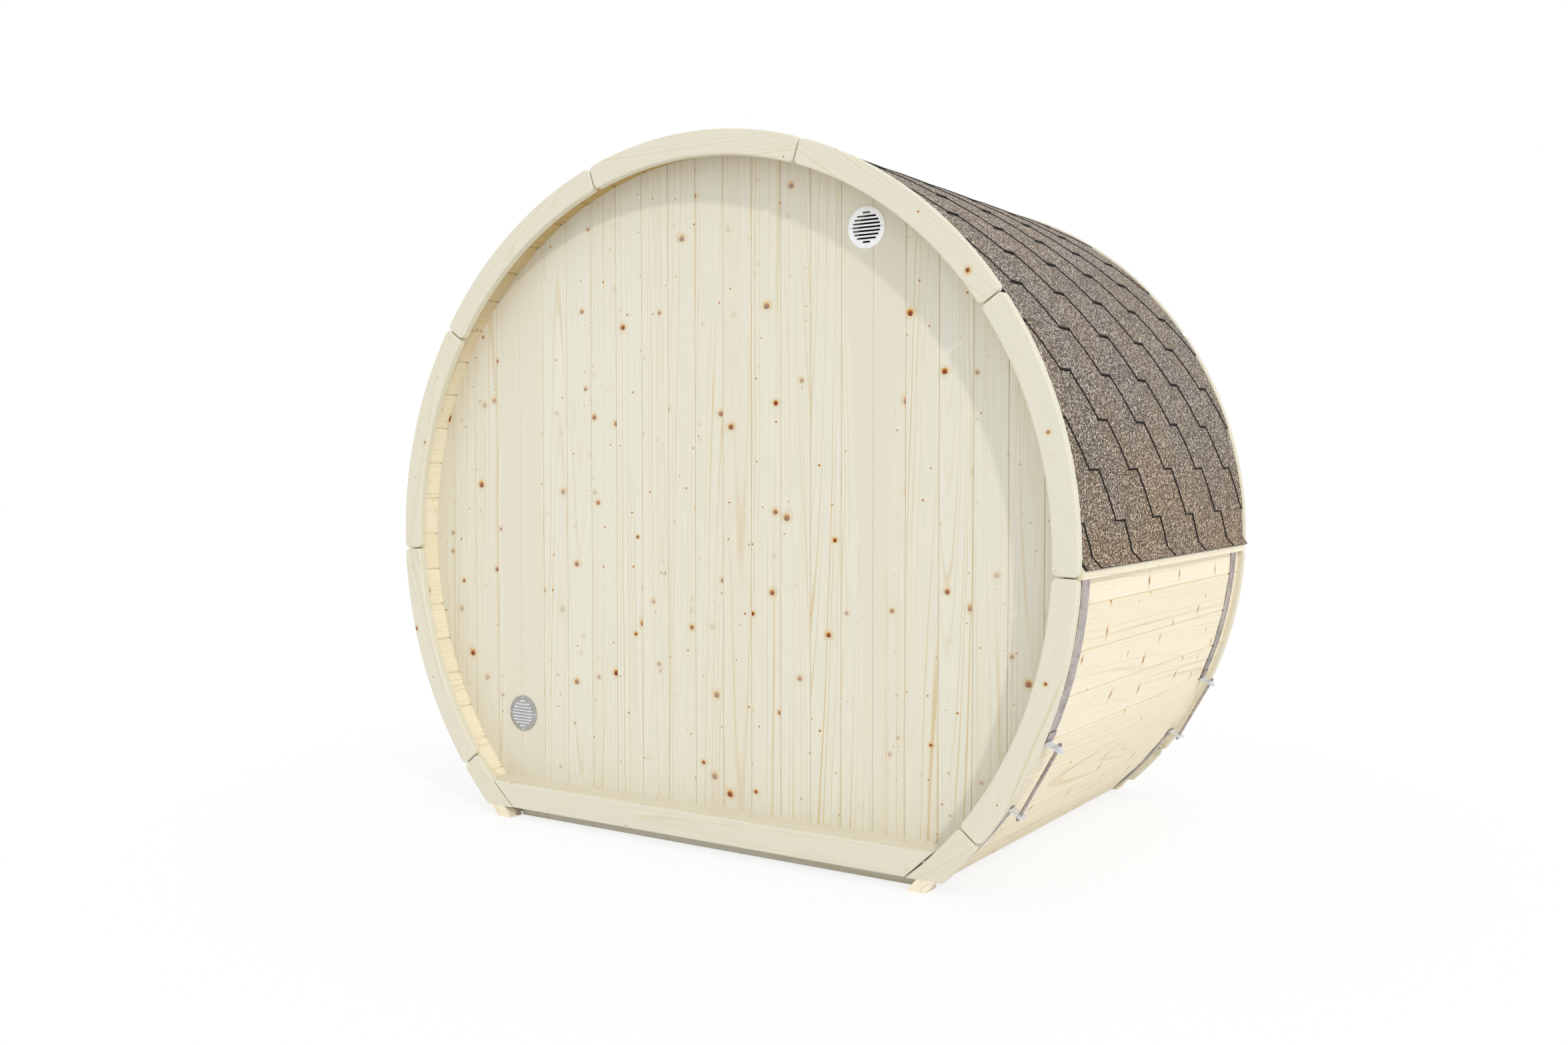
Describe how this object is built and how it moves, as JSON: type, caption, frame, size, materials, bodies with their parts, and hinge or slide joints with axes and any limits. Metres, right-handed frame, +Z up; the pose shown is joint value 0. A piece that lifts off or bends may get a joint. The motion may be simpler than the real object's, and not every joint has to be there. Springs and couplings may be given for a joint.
{
  "type": "barrel sauna",
  "caption": "Barrel-shaped garden sauna cabin of pale timber staves with segmented end rings, recessed board walls, hexagonal shingle roof and tensioned steel bands.",
  "frame": {"origin": "on the ground below the middle of the barrel", "axes": "+Z up; the rear end with the two vents faces -Y, the door end faces +Y, and the band tensioners are on the +X side"},
  "size_m": [2.5168, 1.568, 2.192],
  "materials": {
    "stave_timber": "planed, untreated pale softwood staves",
    "wall_timber": "planed tongue-and-groove boards of pale softwood with small knots",
    "ring_timber": "planed pale softwood with rounded edges",
    "shingle": "dark brown mineral granules on bitumen shingle",
    "galvanised_steel": "galvanised sheet steel, satin",
    "zinc_steel": "bright zinc-plated steel",
    "white_paint": "white satin paint"
  },
  "bodies": {
    "root": {"staves_top_left": "stave_timber", "staves_top_right": "stave_timber", "staves_side_left": "stave_timber", "staves_side_right": "stave_timber", "staves_low_left": "stave_timber", "staves_low_right": "stave_timber", "floor_deck": "stave_timber", "floor_bearers": "stave_timber", "base_feet": "ring_timber", "rear_wall": "wall_timber", "front_wall_left": "wall_timber", "front_wall_right": "wall_timber", "front_wall_head": "wall_timber", "rear_ring_top": "ring_timber", "rear_ring_upper_left": "ring_timber", "rear_ring_upper_right": "ring_timber", "rear_ring_side_left": "ring_timber", "rear_ring_side_right": "ring_timber", "rear_ring_lower_left": "ring_timber", "rear_ring_lower_right": "ring_timber", "front_ring_top": "ring_timber", "front_ring_upper_left": "ring_timber", "front_ring_upper_right": "ring_timber", "front_ring_side_left": "ring_timber", "front_ring_side_right": "ring_timber", "front_ring_lower_left": "ring_timber", "front_ring_lower_right": "ring_timber", "rear_ring_ends": "ring_timber", "rear_sill": "ring_timber", "front_ring_ends": "ring_timber", "front_sill": "ring_timber", "roof_left": "shingle", "roof_right": "shingle", "eave_batten_left": "stave_timber", "eave_batten_right": "stave_timber", "rear_band": "galvanised_steel", "rear_rod": "zinc_steel", "front_band": "galvanised_steel", "front_rod": "zinc_steel", "upper_vent": "white_paint", "lower_vent": "galvanised_steel", "door_frame": "ring_timber", "door_leaf": "wall_timber", "door_hinges": "zinc_steel", "door_handle": "ring_timber"}
  },
  "joints": []
}
